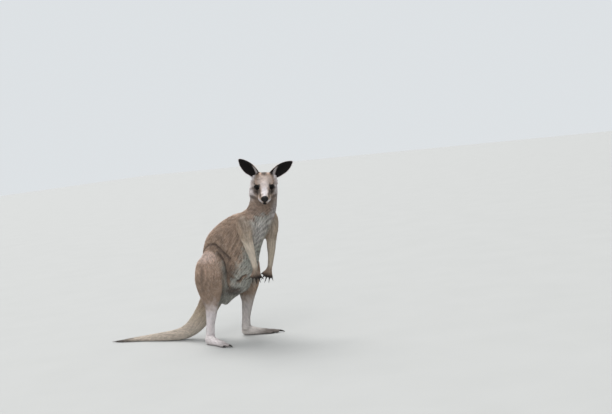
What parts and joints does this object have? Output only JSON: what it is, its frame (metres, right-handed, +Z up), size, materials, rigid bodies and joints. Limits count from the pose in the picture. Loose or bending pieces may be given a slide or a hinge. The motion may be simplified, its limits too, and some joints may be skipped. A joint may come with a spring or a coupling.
{
  "type": "eastern grey kangaroo",
  "caption": "Life-size still model of a female eastern grey kangaroo standing upright on both hind feet and tail, head turned.",
  "frame": {"origin": "middle of the bounding box, on the floor", "axes": "+Z up, -Y ahead of the body, +X to the animal's left; the tail runs back along +Y"},
  "size_m": [0.401, 1.2768, 1.0003],
  "materials": {
    "coat": "short dense grey-brown fur, pale below, dark on hands, feet and tail tip",
    "ear": "short fur outside, thin pale fringe, dark bare skin inside",
    "eye": "wet dark brown",
    "nose": "black, finely pebbled, slightly moist",
    "claw": "black horn with a satin shine"
  },
  "bodies": {
    "root": {"head": "coat", "lower_jaw": "coat", "neck": "coat", "chest": "coat", "abdomen": "coat", "tail_root": "coat", "tail_middle": "coat", "tail_end": "coat", "upper_arm_left": "coat", "forearm_left": "coat", "hand_left": "coat", "thigh_left": "coat", "shank_left": "coat", "foot_left": "coat", "upper_arm_right": "coat", "forearm_right": "coat", "hand_right": "coat", "thigh_right": "coat", "shank_right": "coat", "foot_right": "coat", "ear_left": "ear", "ear_right": "ear", "eye_left": "eye", "eye_right": "eye", "nose_pad": "nose", "hand_left_claw_1": "claw", "hand_left_claw_2": "claw", "hand_left_claw_3": "claw", "hand_left_claw_4": "claw", "hand_left_claw_5": "claw", "foot_left_claw_2": "claw", "foot_left_claw_3": "claw", "foot_left_claw_4": "claw", "foot_left_claw_5": "claw", "hand_right_claw_1": "claw", "hand_right_claw_2": "claw", "hand_right_claw_3": "claw", "hand_right_claw_4": "claw", "hand_right_claw_5": "claw", "foot_right_claw_2": "claw", "foot_right_claw_3": "claw", "foot_right_claw_4": "claw", "foot_right_claw_5": "claw"}
  },
  "joints": []
}
